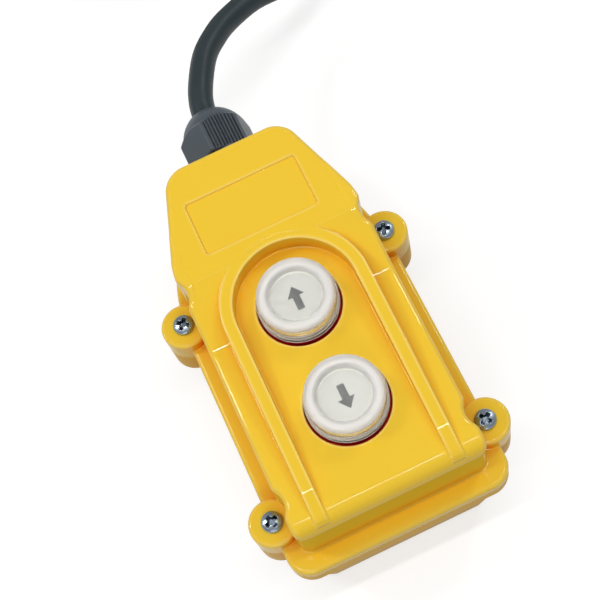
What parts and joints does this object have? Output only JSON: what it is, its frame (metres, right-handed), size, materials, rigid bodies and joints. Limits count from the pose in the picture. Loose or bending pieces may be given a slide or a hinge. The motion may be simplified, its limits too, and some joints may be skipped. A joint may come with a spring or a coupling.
{
  "type": "hoist remote control",
  "caption": "Hand-held pendant control for a hoist: moulded housing, arrow push buttons under clear boots, cable gland and a coiled lead with stripped cores.",
  "frame": {"origin": "under the middle of the pendant from the housing's lower end to the gland's mouth, on the surface that its flat back lies on", "axes": "+Z out of the button panel, +Y along the body towards the cable gland, +X to the right in the picture"},
  "size_m": [0.1089, 0.3063, 0.0553],
  "materials": {
    "front_cover": "moulded yellow plastic, semi-gloss",
    "rear_cover": "moulded yellow plastic, semi-gloss",
    "seal_rubber": "soft sealing rubber",
    "zinc_steel": "zinc-plated steel",
    "brass": "turned and stamped brass",
    "clear_rubber": "clear silicone rubber",
    "white_plastic": "white moulded plastic",
    "legend": "white disc with a grey arrow",
    "black_plastic": "black glass-filled plastic",
    "spring_steel": "drawn spring wire",
    "block_plastic": "dark moulded insulating plastic",
    "gland_plastic": "dark grey-blue nylon",
    "cable_jacket": "dark grey soft jacket",
    "black_core": "core insulation",
    "brown_core": "core insulation",
    "blue_core": "core insulation",
    "green_core": "core insulation",
    "end_cores": "core insulation",
    "copper": "bare copper strands"
  },
  "bodies": {
    "pendant": {"front_cover": "front_cover", "rear_cover": "rear_cover", "cover_gasket": "seal_rubber", "cover_screws": "zinc_steel", "screw_inserts": "brass", "up_boot": "clear_rubber", "down_boot": "clear_rubber", "up_spring": "spring_steel", "down_spring": "spring_steel", "contact_block": "block_plastic", "up_contacts": "brass", "down_contacts": "brass", "terminal_screws": "zinc_steel", "block_screws": "zinc_steel", "gland_body": "gland_plastic", "gland_washer": "seal_rubber", "gland_nut": "gland_plastic", "gland_seal": "seal_rubber", "gland_locknut": "gland_plastic", "cable_tail": "cable_jacket", "common_core": "black_core", "up_core": "brown_core", "down_core": "blue_core", "earth_core": "green_core", "cable": "cable_jacket", "cable_coil": "cable_jacket", "cable_end": "cable_jacket", "end_cores": "end_cores", "core_tips": "copper"},
    "up_button": {"up_cap": "white_plastic", "up_legend": "legend", "up_plunger": "black_plastic", "up_bridge": "brass"},
    "down_button": {"down_cap": "white_plastic", "down_legend": "legend", "down_plunger": "black_plastic", "down_bridge": "brass"}
  },
  "joints": [
    {"name": "up_press", "type": "slide", "parent": "pendant", "child": "up_button", "axis": [0, 0, -1], "range_m": [0, 0.0035], "stiffness_N_per_m": 800, "springref_m": -0.0015, "deforming": ["up_boot", "up_spring"]},
    {"name": "down_press", "type": "slide", "parent": "pendant", "child": "down_button", "axis": [0, 0, -1], "range_m": [0, 0.0035], "stiffness_N_per_m": 800, "springref_m": -0.0015, "deforming": ["down_boot", "down_spring"]}
  ]
}
